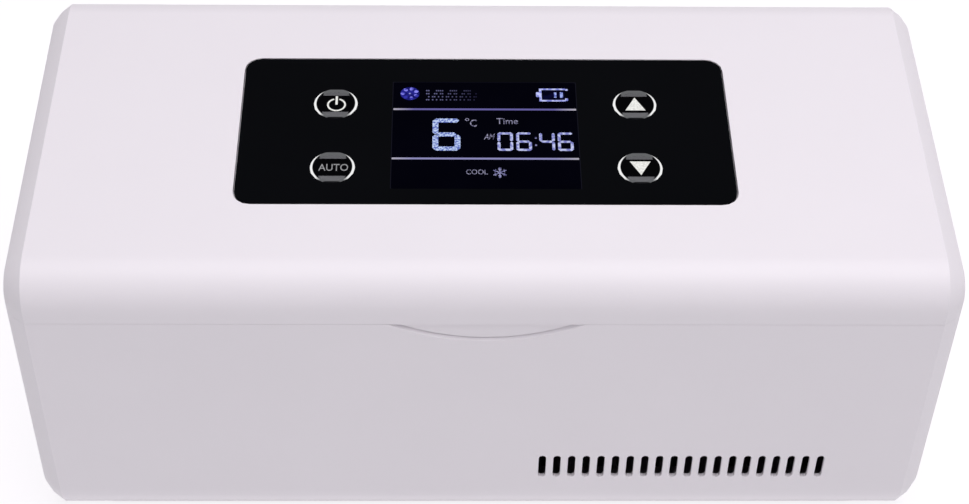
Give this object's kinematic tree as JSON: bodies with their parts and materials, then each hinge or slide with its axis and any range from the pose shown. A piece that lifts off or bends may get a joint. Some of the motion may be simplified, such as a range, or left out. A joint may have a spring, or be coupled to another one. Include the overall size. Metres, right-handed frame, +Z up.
{
  "type": "insulin cooling case",
  "caption": "Tabletop cooling case for insulin pens: oblong white body, hinged lid with a dark display panel and round keys, side air slots, insulated metal tank and fan-cooled base.",
  "frame": {"origin": "middle of the case on the surface that its feet stand on", "axes": "+X to the right along the case, seen from the front; -Y to the front with the finger tab; +Z up"},
  "size_m": [0.2, 0.095, 0.0831],
  "materials": {
    "white_shell": "moulded ABS, satin, faint lilac white",
    "white_inner": "moulded ABS, fine matt texture",
    "tank_metal": "drawn sheet, satin",
    "insulation_foam": "closed-cell foam",
    "module_ceramic": "alumina plates",
    "sink_metal": "extruded, black anodised",
    "steel": "zinc plated",
    "black_plastic": "moulded, matt",
    "circuit_board": "glass-fibre laminate with green solder resist",
    "cell_wrap": "shrink sleeve",
    "lead_red": "PVC insulation",
    "lead_black": "PVC insulation",
    "rubber_foot": "matt",
    "magnet_plate": "nickel plated",
    "panel_black": "back-printed acrylic, polished",
    "display_glass": "dark display glass",
    "key_black": "polished",
    "key_ring": "clear polycarbonate that carries white light to its face",
    "seal_silicone": "soft silicone"
  },
  "bodies": {
    "base": {"base_shell": "white_shell", "bottom_cover": "white_shell", "deck_frame": "white_inner", "cold_tank": "tank_metal", "tank_insulation": "insulation_foam", "cold_block": "tank_metal", "peltier_module": "module_ceramic", "heat_sink": "sink_metal", "temperature_sensor": "steel", "fan_frame": "black_plastic", "main_board": "circuit_board", "dc_socket": "black_plastic", "battery_holder": "black_plastic", "battery_cell_front": "cell_wrap", "battery_cell_rear": "cell_wrap", "peltier_lead_red": "lead_red", "peltier_lead_black": "lead_black", "foot_front_left": "rubber_foot", "foot_front_right": "rubber_foot", "foot_rear_left": "rubber_foot", "foot_rear_right": "rubber_foot", "cover_screw_front_left": "steel", "cover_screw_front_right": "steel", "cover_screw_rear_left": "steel", "cover_screw_rear_right": "steel", "deck_screw_front_left": "steel", "deck_screw_front_right": "steel", "deck_screw_rear_left": "steel", "deck_screw_rear_right": "steel", "hinge_pin_left": "steel", "hinge_pin_right": "steel", "deck_magnet_left": "magnet_plate", "deck_magnet_right": "magnet_plate"},
    "lid": {"lid_shell": "white_shell", "panel_window": "panel_black", "lcd_module": "display_glass", "display_board": "circuit_board", "key_ring_power": "key_ring", "key_ring_auto": "key_ring", "key_ring_up": "key_ring", "key_ring_down": "key_ring", "lid_insulation": "insulation_foam", "lid_liner": "white_inner", "lid_gasket": "seal_silicone", "liner_screw_front_left": "steel", "liner_screw_front_right": "steel", "liner_screw_rear_left": "steel", "liner_screw_rear_right": "steel", "lid_magnet_left": "magnet_plate", "lid_magnet_right": "magnet_plate"},
    "key_power": {"key_cap_power": "key_black"},
    "key_auto": {"key_cap_auto": "key_black"},
    "key_up": {"key_cap_up": "key_black"},
    "key_down": {"key_cap_down": "key_black"},
    "fan": {"fan_rotor": "black_plastic"}
  },
  "joints": [
    {"name": "lid_hinge", "type": "hinge", "parent": "base", "child": "lid", "pos_m": [0, 0.0443, 0.06675], "axis": [-1, 0, 0], "range_deg": [0, 100]},
    {"name": "key_power_press", "type": "slide", "parent": "lid", "child": "key_power", "axis": [0, 0, -1], "range_m": [0, 0.0005], "stiffness_N_per_m": 300, "springref_m": -0.001},
    {"name": "key_auto_press", "type": "slide", "parent": "lid", "child": "key_auto", "axis": [0, 0, -1], "range_m": [0, 0.0005], "stiffness_N_per_m": 300, "springref_m": -0.001},
    {"name": "key_up_press", "type": "slide", "parent": "lid", "child": "key_up", "axis": [0, 0, -1], "range_m": [0, 0.0005], "stiffness_N_per_m": 300, "springref_m": -0.001},
    {"name": "key_down_press", "type": "slide", "parent": "lid", "child": "key_down", "axis": [0, 0, -1], "range_m": [0, 0.0005], "stiffness_N_per_m": 300, "springref_m": -0.001},
    {"name": "fan_spin", "type": "hinge", "parent": "base", "child": "fan", "pos_m": [0.04455, 0, 0.0087], "axis": [0, 0, 1], "continuous": true}
  ]
}
